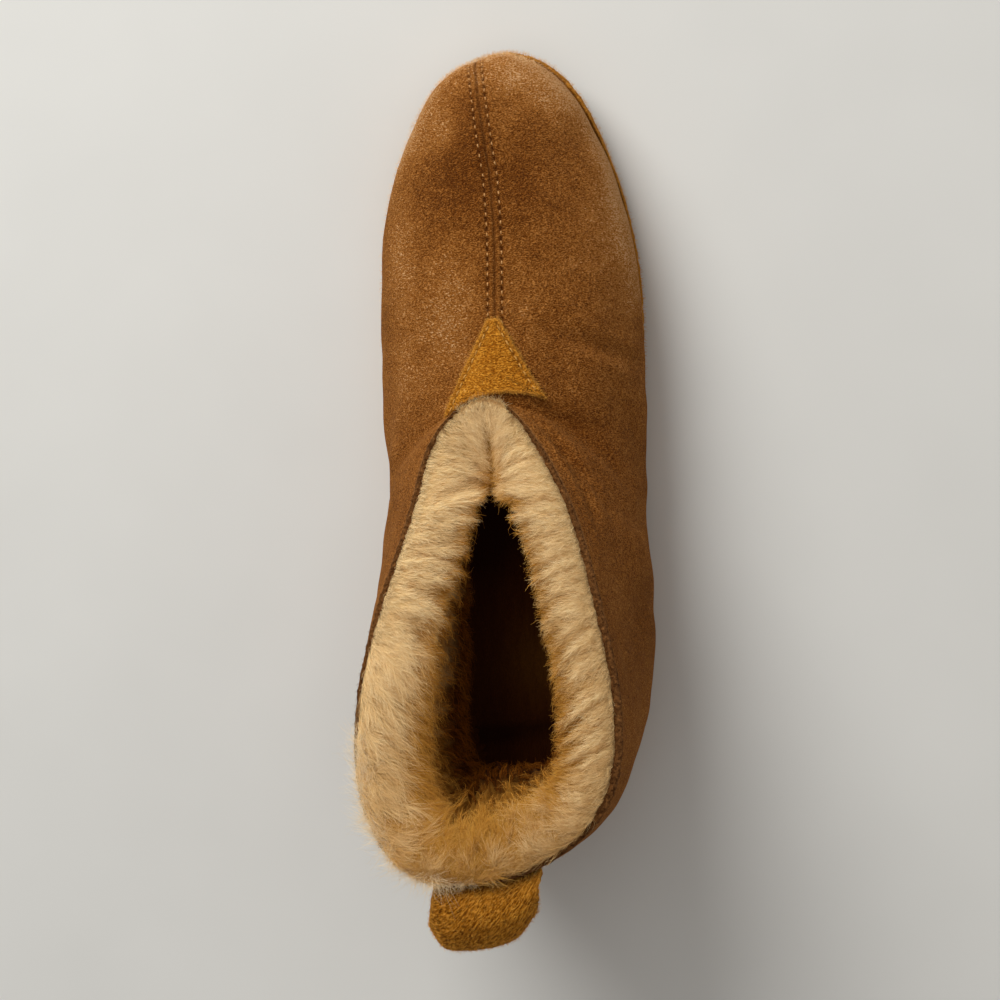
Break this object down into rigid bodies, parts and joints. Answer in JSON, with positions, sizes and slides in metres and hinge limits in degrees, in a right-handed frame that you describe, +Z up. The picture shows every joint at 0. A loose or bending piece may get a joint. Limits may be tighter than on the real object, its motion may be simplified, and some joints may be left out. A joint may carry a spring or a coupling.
{
  "type": "shearling slipper",
  "caption": "Left ankle-height slipper of brown suede with wool inside, a seam over the instep, a three-cornered throat patch and a folded pull loop.",
  "frame": {"origin": "on the floor, at the middle of the flat spot under the heel, 45 mm in front of the heel's back end", "axes": "-Y points to the toe, +X to the lateral (little-toe) side, +Z up"},
  "size_m": [0.0938, 0.2941, 0.1082],
  "materials": {
    "suede_brown": "brushed suede, shearling inside",
    "suede_mustard": "brushed suede, long nap",
    "wool_pile": "cream wool pile, golden at the roots",
    "sole": "matt dark brown"
  },
  "bodies": {
    "root": {"upper": "suede_brown", "outsole": "sole", "rand": "suede_mustard", "insole": "wool_pile", "throat_patch": "suede_mustard", "pull_loop": "suede_mustard"}
  },
  "joints": []
}
